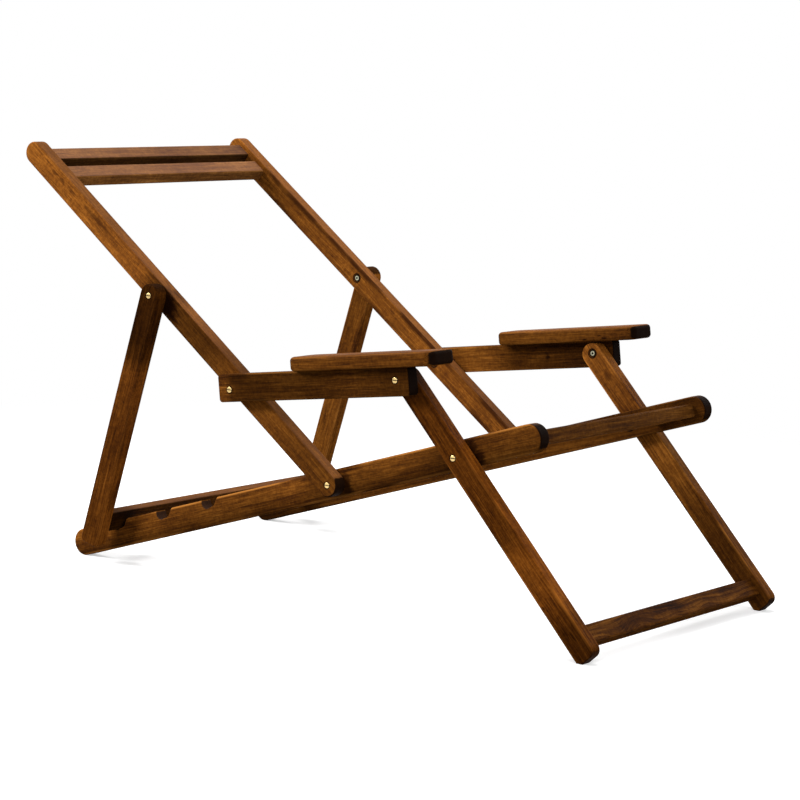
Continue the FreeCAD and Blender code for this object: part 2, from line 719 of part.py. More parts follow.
def top_slat(label, y):
    """Slat between the stiles."""
    body = cross_slat(label, "back", STILE_INNER, y, "Sizes.slat_width", TOP_Z, "Sizes.slat_thickness")
    end_holes(body, STILE_INNER, pair(y, TOP_Z))


def front_slat(label, y):
    """Slat between the seat rails."""
    body = cross_slat(label, "seat", RAIL_INNER, y, "Sizes.slat_width", "0", "Sizes.slat_thickness")
    end_holes(body, RAIL_INNER, pair(y, "0"))


def foot_rail():
    """Cross rail between the legs."""
    body = cross_slat("foot_rail", "leg", STILE_INNER, FOOT_Y, "Sizes.foot_rail_width", FOOT_Z,
                      "Sizes.slat_thickness")
    end_holes(body, STILE_INNER, foot_places)


def prop_bar():
    """Bar on edge between the props, with a full round lower edge that sits in the notches."""
    body = node("prop_bar")
    half = "Sizes.bar_thickness / 2"
    block(body, "blank", f"2 * {PROP_INNER}", f"Sizes.bar_height - {half}", "Sizes.bar_thickness",
          f"-{PROP_INNER}", f"Sizes.bar_seat_reach + {half} - Sizes.bar_height", f"{BAR_Z} - {half}")
    rod(body, "lower_edge", half, f"2 * {PROP_INNER}", f"-{PROP_INNER}", "Sizes.bar_seat_reach", BAR_Z)

    def upper_edge(edge):
        top = val("bar_seat_reach") + val("bar_thickness") / 2 - val("bar_height")
        return runs_across(edge) and abs(edge.Vertexes[0].Y - top) < FIT

    round_over(body, "upper_edges", "Sizes.slat_edge_radius", upper_edge)
    end_holes(body, PROP_INNER, bar_places)
    put(body, "prop", 0)
    nodes.append(body)


# Hardware: each piece is drawn with its axis on local X and the sitter's left as the outside

def bolt(label, outer_face, proud, tip):
    """Domed, slotted head outside and a shank reaching in, both given as distances from the middle plane."""
    body = node(label)
    top = f"({outer_face} + {proud})"
    neck = f"({top} - Sizes.head_height)"
    rod(body, "head", "Sizes.head_diameter / 2", "Sizes.head_height", neck, "0", "0")

    def rim(edge):
        return abs(edge.CenterOfMass.x - body.Tip.Shape.BoundBox.XMax) < FIT and len(edge.Vertexes) == 1

    round_over(body, "dome", "Sizes.head_dome_radius", rim)
    across = f"Sizes.head_diameter + {2 * OVERSHOOT}"
    block(body, "slot", f"Sizes.slot_depth + {OVERSHOOT}", across, "Sizes.slot_width",
          f"{top} - Sizes.slot_depth", f"-({across}) / 2", "-Sizes.slot_width / 2", "Subtractive")
    rod(body, "shank", "Sizes.shank_diameter / 2", f"{neck} - ({tip})", tip, "0", "0")
    return body


def round_nut(label, inner_face, barrel_tip=None):
    """Round nut with a socket, sunk in the inner face: blind for a bolt's end, or with its own barrel."""
    body = node(label)
    low = f"({inner_face} + Sizes.nut_sink)"
    rod(body, "disc", "Sizes.nut_diameter / 2", "Sizes.nut_height", low, "0", "0")
    if barrel_tip:
        rod(body, "barrel", "Sizes.shank_diameter / 2", f"{barrel_tip} - {low}", low, "0", "0")
    else:
        depth = f"Sizes.nut_height - Sizes.nut_wall + {OVERSHOOT}"
        rod(body, "thread", "Sizes.shank_diameter / 2 + Sizes.shank_room / 2", depth,
            f"{low} + Sizes.nut_wall", "0", "0", "Subtractive")
    rod(body, "socket", "Sizes.socket_diameter / 2", f"Sizes.socket_depth + {OVERSHOOT}",
        f"{low} - {OVERSHOOT}", "0", "0", "Subtractive")
    return body


def washer(label, low, high):
    """Flat washer between two timbers."""
    body = node(label)
    rod(body, "disc", "Sizes.washer_diameter / 2", f"({high}) - ({low})", low, "0", "0")
    rod(body, "hole", "Sizes.shank_diameter / 2 + Sizes.shank_room",
        f"({high}) - ({low}) + {2 * OVERSHOOT}", f"{low} - {OVERSHOOT}", "0", "0", "Subtractive")
    return body


def mounted(bodies, pivot, side):
    """Stand hardware on a pivot, turned half round for the sitter's right."""
    for body in bodies:
        put(body, pivot, side)


RAIL_OUTER = f"({RAIL_INNER} + Sizes.side_thickness)"
STILE_OUTER = f"({STILE_INNER} + Sizes.side_thickness)"
PROP_OUTER = f"({PROP_INNER} + Sizes.side_thickness)"
THREAD_END = "Sizes.nut_sink + Sizes.nut_wall + Sizes.shank_room"


def inner_pivot(name):
    """Pivot between a seat rail and the stile or leg beside it, on both sides."""
    kinds = {"bolts": [], "nuts": [], "washers": []}
    for hand, side in (("left", 1), ("right", -1)):
        pieces = {
            "bolts": bolt(f"{name}_pivot_bolt_{hand}", STILE_OUTER, "Sizes.sunk_head_proud",
                          f"{RAIL_INNER} + {THREAD_END}"),
            "nuts": round_nut(f"{name}_pivot_nut_{hand}", RAIL_INNER),
            "washers": washer(f"{name}_pivot_washer_{hand}", f"{RAIL_OUTER} + Sizes.washer_room",
                              f"{STILE_INNER} - Sizes.washer_room"),
        }
        mounted(pieces.values(), f"{name}_pivot", side)
        for kind, piece in pieces.items():
            kinds[kind].append(piece)
    for kind, pieces in kinds.items():
        group(f"{name}_pivot_{kind}", pieces)


def outer_pivot_pieces(name, hand, side):
    """Bolt, nut and washer between a stile and the prop or arm outside it."""
    pieces = {
        "bolt": bolt(f"{name}_pivot_bolt_{hand}", PROP_OUTER, "Sizes.open_head_proud",
                     f"{STILE_INNER} + {THREAD_END}"),
        "nut": round_nut(f"{name}_pivot_nut_{hand}", STILE_INNER),
        "washer": washer(f"{name}_pivot_washer_{hand}", f"{STILE_OUTER} + Sizes.washer_room",
                         f"{PROP_INNER} - Sizes.washer_room"),
    }
    mounted(pieces.values(), f"{name}_pivot", side)
    return pieces


def prop_pivots():
    """Pivots between the stiles and the props, grouped by kind."""
    left = outer_pivot_pieces("prop", "left", 1)
    right = outer_pivot_pieces("prop", "right", -1)
    for kind in left:
        group(f"prop_pivot_{kind}s", [left[kind], right[kind]])


def arm_pivots():
    """Pivots between the stiles and the arm rails, each piece a node of its own."""
    for hand, side in (("left", 1), ("right", -1)):
        nodes.extend(outer_pivot_pieces("arm", hand, side).values())


def knee_pivots():
    """Two-part pivots between arms and legs: screw and washer with the arm, sleeve nut with the leg."""
    sleeves = []
    face = f"{STILE_OUTER} + Sizes.knee_room"
    for hand, side in (("left", 1), ("right", -1)):
        screw = bolt(f"knee_screw_{hand}", PROP_OUTER, "Sizes.open_head_proud", face)
        ring = washer(f"knee_washer_{hand}", face, f"{PROP_INNER} - Sizes.washer_room")
        sleeve = round_nut(f"knee_sleeve_nut_{hand}", STILE_INNER, STILE_OUTER)
        mounted((screw, ring, sleeve), "knee_pivot", side)
        nodes.extend((screw, ring))
        sleeves.append(sleeve)
    group("knee_sleeve_nuts", sleeves)


for hand, side in (("left", 1), ("right", -1)):
    seat_rail(hand, side)
    back_stile(hand, side)
    leg(hand, side)
    prop(hand, side)
    arm_rail(hand, side)
    arm_board(hand, side)
top_slat("top_slat_lower", TOP_LOW)
top_slat("top_slat_upper", TOP_HIGH)
front_slat("front_slat_fore", FRONT_FORE)
front_slat("front_slat_rear", FRONT_REAR)
foot_rail()
prop_bar()
pegs("top_slat_dowels", "back", STILE_INNER, top_places)
pegs("front_slat_dowels", "seat", RAIL_INNER, front_places)
pegs("foot_rail_dowels", "leg", STILE_INNER, foot_places)
pegs("prop_bar_dowels", "prop", PROP_INNER, bar_places)
inner_pivot("back")
inner_pivot("leg")
prop_pivots()
arm_pivots()
knee_pivots()


def stand(shift):
    """Put every piece in the row frame, moved along Y by the shift given."""
    for item, frame, x in placed:
        if frame in pivots:
            y, z = pivots[frame]
            rotation = FreeCAD.Rotation(FreeCAD.Vector(0, 0, 1), 0 if x > 0 else 180)
            x = 0
        else:
            (y, z), turn = frames[frame]
            rotation = FreeCAD.Rotation(FreeCAD.Vector(1, 0, 0), turn)
        item.Placement = FreeCAD.Placement(FreeCAD.Vector(x, y + shift, z - floor_level), rotation)
    doc.recompute()


def reach_along_y():
    """Lowest and highest Y of the whole chair."""
    boxes = [item.Shape.optimalBoundingBox(False, False) for item in nodes]
    return min(box.YMin for box in boxes), max(box.YMax for box in boxes)


stand(0)
rear_to_front = reach_along_y()
middle = sum(rear_to_front) / 2
stand(-middle)

for item in doc.Objects:
    if "Invalid" in item.State or "Error" in item.State:
        raise RuntimeError(f"{item.Label} failed to build: {item.State}")
for item in nodes:
    if item.Shape.isNull() or not item.Shape.isValid() or not item.Shape.Solids:
        raise RuntimeError(f"{item.Label} has no sound shape")
for item in nodes:
    item.Shape.exportStep(f"parts/{item.Label}.step")

# What the open stance came to
boxes = [item.Shape.optimalBoundingBox(False, False) for item in nodes]
print("nodes", len(nodes))
print("size x", round(max(box.XMax for box in boxes) - min(box.XMin for box in boxes), 3))
print("size y", round(rear_to_front[1] - rear_to_front[0], 3))
print("size z", round(min(box.ZMin for box in boxes), 3), round(max(box.ZMax for box in boxes), 3))
print("opening", round(opening, 3), "tilt", round(tilt, 3))
print("recline stops", [round(opening_at(val("first_notch") + i * val("notch_spacing")) - opening, 3)
                        for i in range(int(val("notch_count")))])
for name, (origin, turn) in frames.items():
    print("frame", name, round(origin[0] - middle, 3), round(origin[1] - floor_level, 3), round(turn, 3))
for name, (y, z) in pivots.items():
    print("pivot", name, round(y - middle, 3), round(z - floor_level, 3))
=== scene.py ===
import math

import bpy
import numpy as np
from mathutils import Matrix, Vector

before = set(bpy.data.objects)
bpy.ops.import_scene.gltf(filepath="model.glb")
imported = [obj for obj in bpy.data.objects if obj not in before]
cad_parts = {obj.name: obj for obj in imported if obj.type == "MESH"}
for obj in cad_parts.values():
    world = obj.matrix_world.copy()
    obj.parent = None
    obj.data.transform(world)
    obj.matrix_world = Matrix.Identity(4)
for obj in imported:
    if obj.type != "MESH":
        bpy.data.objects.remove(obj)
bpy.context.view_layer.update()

# Row frame in metres: +Z up, the sitter faces -Y, +X is the sitter's left, and the floor is Z = 0.

# Camera: where it stands, the way it looks and its up, from the photograph's perspective
CAMERA_PLACE = Vector((-3.3428, -2.4764, 0.8785))
CAMERA_FORWARD = Vector((0.7978, 0.5871, -0.1373))
CAMERA_UP = Vector((0.0833, 0.1186, 0.9896))
CAMERA_LENS = 122.44
CAMERA_SENSOR = 36
CAMERA_SHIFT = (-0.0023, -0.0181)
CAMERA_REACH = 100

# Lamps: name, place, width of the square and power; all are aimed at the chair's middle
LAMPS = (("key", (-2.4, 2.0, 1.9), 1.3, 120), ("overhead", (0.3, 0.3, 3.3), 1.8, 62),
         ("front_fill", (-1.6, -2.9, 1.5), 2.0, 44), ("far_fill", (2.7, -0.6, 1.6), 1.8, 34))
CHAIR_MIDDLE = (0, 0, 0.35)

# White floor: its size, how pale it is, how brightly it glows, and over what distance it turns plain white
FLOOR_RADIUS = 30
FLOOR_SIDES = 96
FLOOR_PALE = (0.8, 0.8, 0.8, 1)
FLOOR_GLOW = 0.45
FLOOR_FADES = (0.9, 1.8)
WHITE = (1, 1, 1, 1)
# The floor and the surroundings light the chair less than they show
FLOOR_BOUNCE = (0.3, 0.3, 0.3, 1)
SURROUND = 0.22

# Tones of the stained wood from its darkest pores to its palest worn edges, as they look in plain light
STAIN = ((0.0, (0.12, 0.06, 0.03)), (0.28, (0.225, 0.115, 0.035)), (0.5, (0.345, 0.195, 0.055)),
         (0.72, (0.47, 0.285, 0.095)), (1.0, (0.61, 0.405, 0.18)))
PORE = (0.11, 0.055, 0.03)
# Knots, and the painted contact shadows that are laid as marks
KNOT_AND_SHADOW = (0.14, 0.06, 0.02)
# Wear on the arrises, lightened further as a painted highlight where their rounding catches light
WORN_AND_HIGHLIGHT = (0.62, 0.40, 0.17)
# Pale sheen painted on upper faces, where a top light would reflect
PAINTED_SHEEN = (0.62, 0.43, 0.30)
# Cut ends that drink the stain, and the painted shade in rings round the fasteners
END_GRAIN_AND_SHADE = (0.07, 0.04, 0.028)
# Painted shade in the notches of the seat rails
SHADED = (0.18, 0.13, 0.11)
BEECH = (0.72, 0.56, 0.38)

# Metals: tone and roughness
STEEL = ((0.45, 0.44, 0.42), 0.4)
NICKEL = ((0.68, 0.67, 0.57), 0.3)
BRASS = ((0.86, 0.74, 0.50), 0.28)


def linear(tone):
    """Screen tone, 0 to 1, as the light level that shaders work with."""
    return tuple(c / 12.92 if c <= 0.04045 else ((c + 0.055) / 1.055) ** 2.4 for c in tone)


def darker(tone, share):
    return tuple(c * share for c in tone)


class Signal:
    """A shader socket that can be written into sums, products and quotients."""

    def __init__(self, graph, socket):
        self.graph = graph
        self.socket = socket

    def output(self, name):
        """Another output of the same node."""
        return Signal(self.graph, self.socket.node.outputs[name])

    def _math(self, operation, first, second):
        return self.graph.node("ShaderNodeMath", {"operation": operation}, {0: first, 1: second})

    def __add__(self, other):
        return self._math("ADD", self, other)

    def __radd__(self, other):
        return self._math("ADD", other, self)

    def __sub__(self, other):
        return self._math("SUBTRACT", self, other)

    def __rsub__(self, other):
        return self._math("SUBTRACT", other, self)

    def __mul__(self, other):
        return self._math("MULTIPLY", self, other)

    def __rmul__(self, other):
        return self._math("MULTIPLY", other, self)

    def __truediv__(self, other):
        return self._math("DIVIDE", self, other)

    def __rtruediv__(self, other):
        return self._math("DIVIDE", other, self)


class Graph:
    """The node tree of one material or world."""

    def __init__(self, owner):
        owner.use_nodes = True
        self.owner = owner
        self.tree = owner.node_tree
        self.tree.nodes.clear()

    def node(self, kind, settings=None, inputs=None, out=0):
        """Add a node, give it its settings and then its inputs, and return one of its outputs, if it has any."""
        made = self.tree.nodes.new(kind)
        for name, value in (settings or {}).items():
            if name == "stops":
                fill_ramp(made.color_ramp, value)
            else:
                setattr(made, name, value)
        for name, value in (inputs or {}).items():
            if isinstance(value, Signal):
                self.tree.links.new(value.socket, made.inputs[name])
            else:
                made.inputs[name].default_value = value
        return Signal(self, made.outputs[out]) if made.outputs else None

    def finish(self, **inputs):
        """Close the tree with one principled surface."""
        named = {name.replace("_", " "): value for name, value in inputs.items()}
        return self.close(self.node("ShaderNodeBsdfPrincipled", None, named))

    def close(self, surface, kind="ShaderNodeOutputMaterial"):
        """Join a surface to the tree's output and return the material or world."""
        self.node(kind, None, {"Surface": surface})
        return self.owner

    def step(self, value, low, high):
        """Smooth step from 0 at low to 1 at high; low may be the larger."""
        return self.node("ShaderNodeMapRange", {"interpolation_type": "SMOOTHSTEP"},
                         {"Value": value, "From Min": low, "From Max": high})

    def size_of(self, value):
        """A value without its sign."""
        return self.node("ShaderNodeMath", {"operation": "ABSOLUTE"}, {0: value})

    def vector(self, x, y, z):
        return self.node("ShaderNodeCombineXYZ", None, {"X": x, "Y": y, "Z": z})

    def length(self, vector):
        return self.node("ShaderNodeVectorMath", {"operation": "LENGTH"}, {0: vector}, out="Value")

    def split(self, vector):
        """The three parts of a vector."""
        part = self.node("ShaderNodeSeparateXYZ", None, {"Vector": vector})
        return [part.output(axis) for axis in "XYZ"]

    def noise(self, vector, scale=1.0, detail=2.0, roughness=0.5, distortion=0.0):
        """Smooth noise about one half."""
        return self.node("ShaderNodeTexNoise", None, {
            "Vector": vector, "Scale": scale, "Detail": detail, "Roughness": roughness, "Distortion": distortion})

    def mix(self, factor, first, second, blend="MIX"):
        """Blend two colours; the node has sockets of each type, and 6, 7 and its output 2 are the colours'."""
        first, second = (value if isinstance(value, Signal) else (*value, 1.0) for value in (first, second))
        return self.node("ShaderNodeMix", {"data_type": "RGBA", "blend_type": blend},
                         {0: factor, 6: first, 7: second}, out=2)

    def lay(self, mask, colour, tone):
        """Lay a screen tone over a colour, as far as the mask goes."""
        return self.mix(mask, colour, linear(tone))

    def times(self, colour, level):
        """Multiply a colour by a level or by another colour."""
        return self.mix(1.0, colour, level, "MULTIPLY")


def fill_ramp(ramp, stops):
    """Set a colour ramp's stops, given as (position, light level of the colour)."""
    while len(ramp.elements) > 1:
        ramp.elements.remove(ramp.elements[-1])
    ramp.elements[0].position = stops[0][0]
    for position, _ in stops[1:]:
        ramp.elements.new(position)
    for element, (_, colour) in zip(ramp.elements, stops):
        element.color = (*colour, 1.0)


def mesh_points(node):
    """All points of a construction piece, in the row frame."""
    return np.array([vertex.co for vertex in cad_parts[node].data.vertices], float)


def span(values):
    return values.max() - values.min()


def centre(values):
    return (values.max() + values.min()) / 2


def turned(y, z, turn):
    """Parts along Y and Z as parts along axes turned about X."""
    cosine = math.cos(turn)
    sine = math.sin(turn)
    return y * cosine + z * sine, z * cosine - y * sine


# A timber wider than this, in metres, lies across the chair
CROSS_LENGTH = 0.2


class Lie:
    """How a timber lies in the row frame: its middle, its turn about X, and half its size each way."""

    def __init__(self, node):
        points = mesh_points(node)
        half_x = span(points[:, 0]) / 2
        self.crosswise = half_x * 2 > CROSS_LENGTH
        self.turn = 0.0 if self.crosswise else self.narrowest(points)
        forward, upward = turned(points[:, 1], points[:, 2], self.turn)
        half_y = span(forward) / 2
        self.half_height = span(upward) / 2
        self.half_width, self.half_length = (half_y, half_x) if self.crosswise else (half_x, half_y)
        self.middle = (centre(points[:, 0]), *turned(centre(forward), centre(upward), -self.turn))

    def locate(self, node):
        """Where a piece's middle lies along and up the timber."""
        points = mesh_points(node)
        _, middle_y, middle_z = self.middle
        return turned(centre(points[:, 1]) - middle_y, centre(points[:, 2]) - middle_z, self.turn)

    @staticmethod
    def narrowest(points):
        """Turn about X at which the timber's outline is narrowest, found by degrees and then by fiftieths of one."""
        def width(turn):
            return span(turned(points[:, 1], points[:, 2], turn)[1])

        best = min((math.radians(angle) for angle in range(-90, 90)), key=width)
        return min((best + math.radians(offset / 50) for offset in range(-50, 51)), key=width)


# Layers of the grain: their cells in a metre across and along the timber, how many times its shift moves them
# across and along, and the noise's detail, roughness and distortion
GRAIN = {
    "sway": (8, 3.1, 1, 1, 1, 0.5, 0.0),
    "cloud": (14, 7, 0, 7, 2, 0.5, 0.0),
    "streak": (290, 5, 0, 3, 3, 0.62, 0.0),
    "fibre": (1200, 34, 0, 1, 2, 0.7, 0.0),
    "mottle": (190, 70, 1, 0, 3, 0.65, 0.3),
    "patch": (34, 9, 1, 5, 2, 0.5, 0.3),
    "rays": (170, 250, 1, 0, 2, 0.6, 0.5)}
# Shift between one timber's grain and the next one's
SEED_SHIFT = 0.37

# How strongly the layers lighten or darken the stain, fray marks and cut ends, and change the roughness
BROAD_FIGURE = {"streak": 0.8, "cloud": 0.6}
FINE_FIGURE = {"fibre": 0.65, "mottle": 0.3, "rays": 0.35}
MARK_FRAY = {"mottle": 1.2, "streak": 0.8}
END_FRAY = {"mottle": 0.25}
UNEVEN_OIL = {"streak": 0.16, "mottle": 0.14}

# Where a finish sets in and where it is full. In a layer of the grain, which varies about one half:
PORES_OPEN = (0.39, 0.27)
PATCH_DARKENS = (0.5, 0.75)
ARRIS_SKIPS_PATCH = (0.62, 0.42)
# In distance from a mark's middle, 1 at its outline:
MARK_SETS_IN = (1.15, 0.45)
# In how far a face turns up or to the side, from -1 to 1, and at a cut end the range from its own start:
FACES_UP = (0.45, 0.85)
FACES_DOWN = (-0.45, -0.85)
MIRRORS_FLOOR = (-0.3, -0.8)
FACES_SIDEWAYS = (0.5, 0.8)
FACES_ALONG = (0.6, 0.3)
END_RANGE = 0.18
# In metres: in from a side face, over a timber's middle, and on a notched rail down from its upper face, up from its
# middle and in from its rear end:
ARRIS_IN = (0.0032, 0.001)
MIDDLE_BAND = (-0.001, 0.001)
BELOW_TOP = (0.0006, 0.0018)
ABOVE_MIDDLE = (0.0, 0.002)
OFF_REAR_END = (0.02, 0.04)
# In shares of a shade ring's reach, and of the arris strip's width:
RING_FULL = 0.83
ARRIS_FULL = 0.3

PORE_STRENGTH = 0.6
SHADE_RING_STRENGTH = 0.9
NOTCH_STRENGTH = 0.85

# Roughness of the oiled wood, what cut ends and undersides add to it, and its specular level
OILED = 0.47
ROUGHER_ENDS = 0.1
ROUGHER_UNDERS = 0.5
SHINE = 0.005

# Relief of the grain: what raises it and what sinks it, its strength, and its depth in metres
STREAK_RISE = 0.5
FIBRE_RISE = 0.35
PORE_SINK = 0.6
RELIEF = 0.4
RELIEF_DEPTH = 0.0006

# Highest level of painted light that a ramp of levels can give
TOP_LEVEL = 3.0


class StainedTimber(Graph):
    """Stained, oiled hardwood whose grain runs along its timber, with cut ends that drink the stain."""

    def __init__(self, node, look, seed):
        super().__init__(bpy.data.materials.new(f"stained_{node}"))
        self.lie = Lie(node)
        self.look = look
        self.shift = seed * SEED_SHIFT
        (self.x, self.y, self.z), (self.turns_x, self.turns_y, self.turns_z) = self.axes()
        self.grain = self.grow()
        self.pores = self.step(self.grain["fibre"], *PORES_OPEN) * PORE_STRENGTH
        self.upper = self.step(self.turns_z, *FACES_UP)

    def axes(self):
        """A point's place across, along and up the timber, and how far its face turns to each of these."""
        place = self.node("ShaderNodeTexCoord", out="Object")
        turn = {"Rotation": (self.lie.turn, 0, 0)}
        place_on = self.node("ShaderNodeMapping", {"vector_type": "TEXTURE"},
                             {"Vector": place, "Location": self.lie.middle, **turn})
        turns_to = self.node("ShaderNodeMapping", {"vector_type": "TEXTURE"},
                             {"Vector": place.output("Normal"), **turn})
        parts = [self.split(vector) for vector in (place_on, turns_to)]
        return [(y, x, z) for x, y, z in parts] if self.lie.crosswise else parts

    def grow(self):
        """The grain's layers, which sway slowly from side to side along the timber."""
        amount, pace = self.look["wander"]
        sway = (self.layer("sway", self.x, self.z, pace) - 0.5) * amount
        x = self.x + sway
        z = self.z + sway
        layers = {name: self.layer(name, x, z) for name in ("streak", "fibre", "mottle", "patch", "rays")}
        return {"cloud": self.layer("cloud", self.x, self.z), **layers}

    def layer(self, name, x, z, pace=1.0):
        """One layer of the grain, as noise that is drawn out along the timber."""
        across, along, shifts_across, shifts_along, detail, roughness, distortion = GRAIN[name]
        place = self.vector(x * (across * pace) + self.shift * shifts_across,
                            self.y * (along * pace) + self.shift * shifts_along, z * (across * pace))
        return self.noise(place, detail=detail, roughness=roughness, distortion=distortion)

    def weigh(self, weights):
        """Sum of the grain's layers, each taken about zero and times its weight."""
        return sum((self.grain[name] - 0.5) * weight for name, weight in weights.items())

    def stained(self):
        """The stain as the grain takes it."""
        figure = self.weigh(BROAD_FIGURE) - self.step(self.grain["patch"], *PATCH_DARKENS) * self.look["patches"]
        tone = figure * self.look["figure"] + self.weigh(FINE_FIGURE) + self.look["tone"]
        stops = [(position, linear(colour)) for position, colour in STAIN]
        return self.lay(self.pores, self.node("ShaderNodeValToRGB", {"stops": stops}, {"Fac": tone}), PORE)

    def marked_and_shadowed(self, colour):
        """Knots, smudges and painted contact shadows with frayed outlines."""
        for mark_y, mark_z, half_length, half_height, strength in self.look["marks"]:
            out = self.vector(0.0, (self.y - mark_y) / half_length, (self.z - mark_z) / half_height)
            frayed = self.length(out) + self.weigh(MARK_FRAY)
            colour = self.lay(self.step(frayed, *MARK_SETS_IN) * strength, colour, KNOT_AND_SHADOW)
        return colour

    def toned_arrises(self, colour):
        """Arrises laid in another tone, except where the wood is patched: a pale tone is wear with a painted highlight
        where the rounding catches light, and a dark one darkens the strip.
        """
        width, strength, tone = self.look["arrises"]
        side, side_full = (self.lie.half_width - inward for inward in ARRIS_IN)
        top = self.lie.half_height
        edges = self.step(self.size_of(self.x), side, side_full) \
            * self.step(self.size_of(self.z), top - width, top - width * ARRIS_FULL) \
            * self.step(self.grain["patch"], *ARRIS_SKIPS_PATCH)
        return self.lay(edges * strength, colour, tone)

    def level(self):
        """Painted light and shade on the timber: its sides, upper faces and undersides are lit to different levels,
        which change along it.
        """
        along = self.y / (self.lie.half_length * 2) + 0.5
        sides = self.painted_level_along(along, self.look["sides"])
        level = (self.painted_level_along(along, self.look["uppers"]) - sides) * self.upper + sides
        if self.look["lift"]:
            level = level * (self.z / self.lie.half_height * self.look["lift"] + 1.0)
        if self.look["unders"] != PLAIN["unders"]:
            level = level * (self.step(self.turns_z, *FACES_DOWN) * (self.look["unders"] - 1.0) + 1.0)
        return level

    def painted_level_along(self, along, stops):
        """Level of painted light and shade that changes with the place along the timber."""
        if len(stops) == 1:
            return stops[0][1]
        greys = [(position, (level / TOP_LEVEL,) * 3) for position, level in stops]
        return self.node("ShaderNodeValToRGB", {"stops": greys}, {"Fac": along}) * TOP_LEVEL

    def notch_walls(self):
        """Mask of the painted shade on the notches' walls: what turns along the rail, in its upper half and off its
        rear end.
        """
        walls = self.step(self.size_of(self.turns_x), *FACES_ALONG)
        walls = walls * self.step(self.z, *(self.lie.half_height - down for down in BELOW_TOP))
        walls = walls * self.step(self.z, *ABOVE_MIDDLE)
        return walls * self.step(self.y, *(self.lie.half_length - inward for inward in OFF_REAR_END))

    def shade_ringed(self, colour):
        """Painted shade in rings round the fasteners, where they sit in the wood."""
        outward = math.copysign(1.0, self.lie.middle[0])
        for fastener, reach, side in self.look["rings"]:
            ring_y, ring_z = self.lie.locate(fastener)
            radius = self.length(self.vector(0.0, self.y - ring_y, self.z - ring_z))
            face = self.step(self.turns_x * (side * outward), *FACES_SIDEWAYS)
            ring = self.step(radius, reach, reach * RING_FULL)
            colour = self.lay(ring * face * SHADE_RING_STRENGTH, colour, END_GRAIN_AND_SHADE)
        return colour

    def cut_ends(self):
        """Mask of the end grain, with each end's own strength."""
        first_end, last_end = self.look["ends"]
        start = self.look["end_start"]
        strength = self.step(self.y, *MIDDLE_BAND) * (last_end - first_end) + first_end
        return self.step(self.size_of(self.turns_y) + self.weigh(END_FRAY), start, start + END_RANGE) * strength

    def surface(self):
        """Lay the finishes on in their order and return the material."""
        ends = self.cut_ends()
        colour = self.marked_and_shadowed(self.stained())
        # Painted sheen: upper faces are paled towards the tone of a top light's reflection
        colour = self.lay(self.upper * self.look["painted_sheen"], colour, PAINTED_SHEEN)
        # Painted light and shade: each face is lightened or darkened as the lamps would light it
        colour = self.times(self.toned_arrises(colour), self.level())
        if self.look["tint"]:
            colour = self.times(colour, self.look["tint"])
        if self.look["notched"]:
            colour = self.lay(self.notch_walls() * NOTCH_STRENGTH, colour, SHADED)
        colour = self.lay(ends, self.shade_ringed(colour), END_GRAIN_AND_SHADE)

        # Undersides are seen at a low slant, where a smoother face would mirror the white floor
        unders = self.step(self.turns_z, *MIRRORS_FLOOR) * ROUGHER_UNDERS
        roughness = self.weigh(UNEVEN_OIL) + ends * ROUGHER_ENDS + unders + OILED
        height = self.grain["streak"] * STREAK_RISE + self.grain["fibre"] * FIBRE_RISE - self.pores * PORE_SINK
        bump = self.node("ShaderNodeBump", None, {"Strength": RELIEF, "Distance": RELIEF_DEPTH, "Height": height})
        return self.finish(Base_Color=colour, Roughness=roughness, Normal=bump, Specular_IOR_Level=SHINE)


# What a timber's look says. Places along a timber run from 0 at its fore end, or at the sitter's right on a timber
# that lies across, to 1 at its other end; levels are painted light and shade that multiply the stain.
#   tone, figure     lightness of the stain, and how strongly broad grain shows in it
#   wander           how far the grain sways, in metres, and how fast
#   patches, painted_sheen  strength of dark patches, and of the pale sheen painted on upper faces
#   arrises          width in metres, strength and tone of the strip along the arris: a pale tone is wear with a painted highlight, a dark one darkens the strip
#   sides, uppers    levels of painted light and shade on side faces and on upper faces, as (place, level)
#   unders, lift     painted light level of undersides to the sides', and how much lighter painted light makes a side at its top than in its middle
#   ends, end_start  strength of the end grain at each end, and how far a face turns to the end where it sets in
#   marks            knots, smudges and painted contact shadows: middle along and up the timber, half length, half height and strength
#   rings            fasteners with a ring of painted shade round them: name, radius, and 1 on the outer face or -1 on the inner one
#   notched, tint    whether notches are shaded, and a colour that multiplies the whole
PLAIN = {
    "tone": 0.5, "figure": 0.85, "wander": (0.014, 1.0), "patches": 0.2, "painted_sheen": 0.0, "arrises": (0.0032, 0.5, WORN_AND_HIGHLIGHT),
    "sides": ((0, 1.0),), "uppers": ((0, 0.8),), "unders": 1.0, "lift": 0.0, "ends": (0.97, 0.97), "end_start": 0.5,
    "marks": (), "rings": (), "notched": False, "tint": None}

# Radius of the ring of painted shade round a nut and round a bolt, and each timber's rings. A left-hand fastener
# stands for its pair, because only its place along and up the timber counts.
NUT_RING = 0.009
BOLT_RING = 0.0062
STILE_RINGS = (("prop_pivot_nuts", NUT_RING, -1), ("arm_pivot_nut_left", NUT_RING, -1),
               ("back_pivot_bolts", BOLT_RING, 1))
RAIL_RINGS = (("back_pivot_nuts", NUT_RING, -1), ("leg_pivot_nuts", NUT_RING, -1))
LEG_RINGS = (("knee_sleeve_nuts", NUT_RING, -1), ("leg_pivot_bolts", BOLT_RING, 1))
ARM_RINGS = (("arm_pivot_bolt_left", BOLT_RING, 1), ("knee_screw_left", BOLT_RING, 1))
PROP_RINGS = (("prop_pivot_bolts", BOLT_RING, 1),)

# The slats' tints add blue as a painted pale sheen on their faces
FRONT_SLAT = {"uppers": ((0, 0.75),), "arrises": (0.0032, 0.2, WORN_AND_HIGHLIGHT), "unders": 1.5, "tint": (1.03, 1.12, 1.4)}
TOP_SLAT = {"painted_sheen": 0.15, "figure": 0.8, "patches": 0.0, "tint": (1.0, 1.2, 2.0)}
STILE = {"painted_sheen": 0.15, "figure": 0.6, "patches": 0.1, "rings": STILE_RINGS}

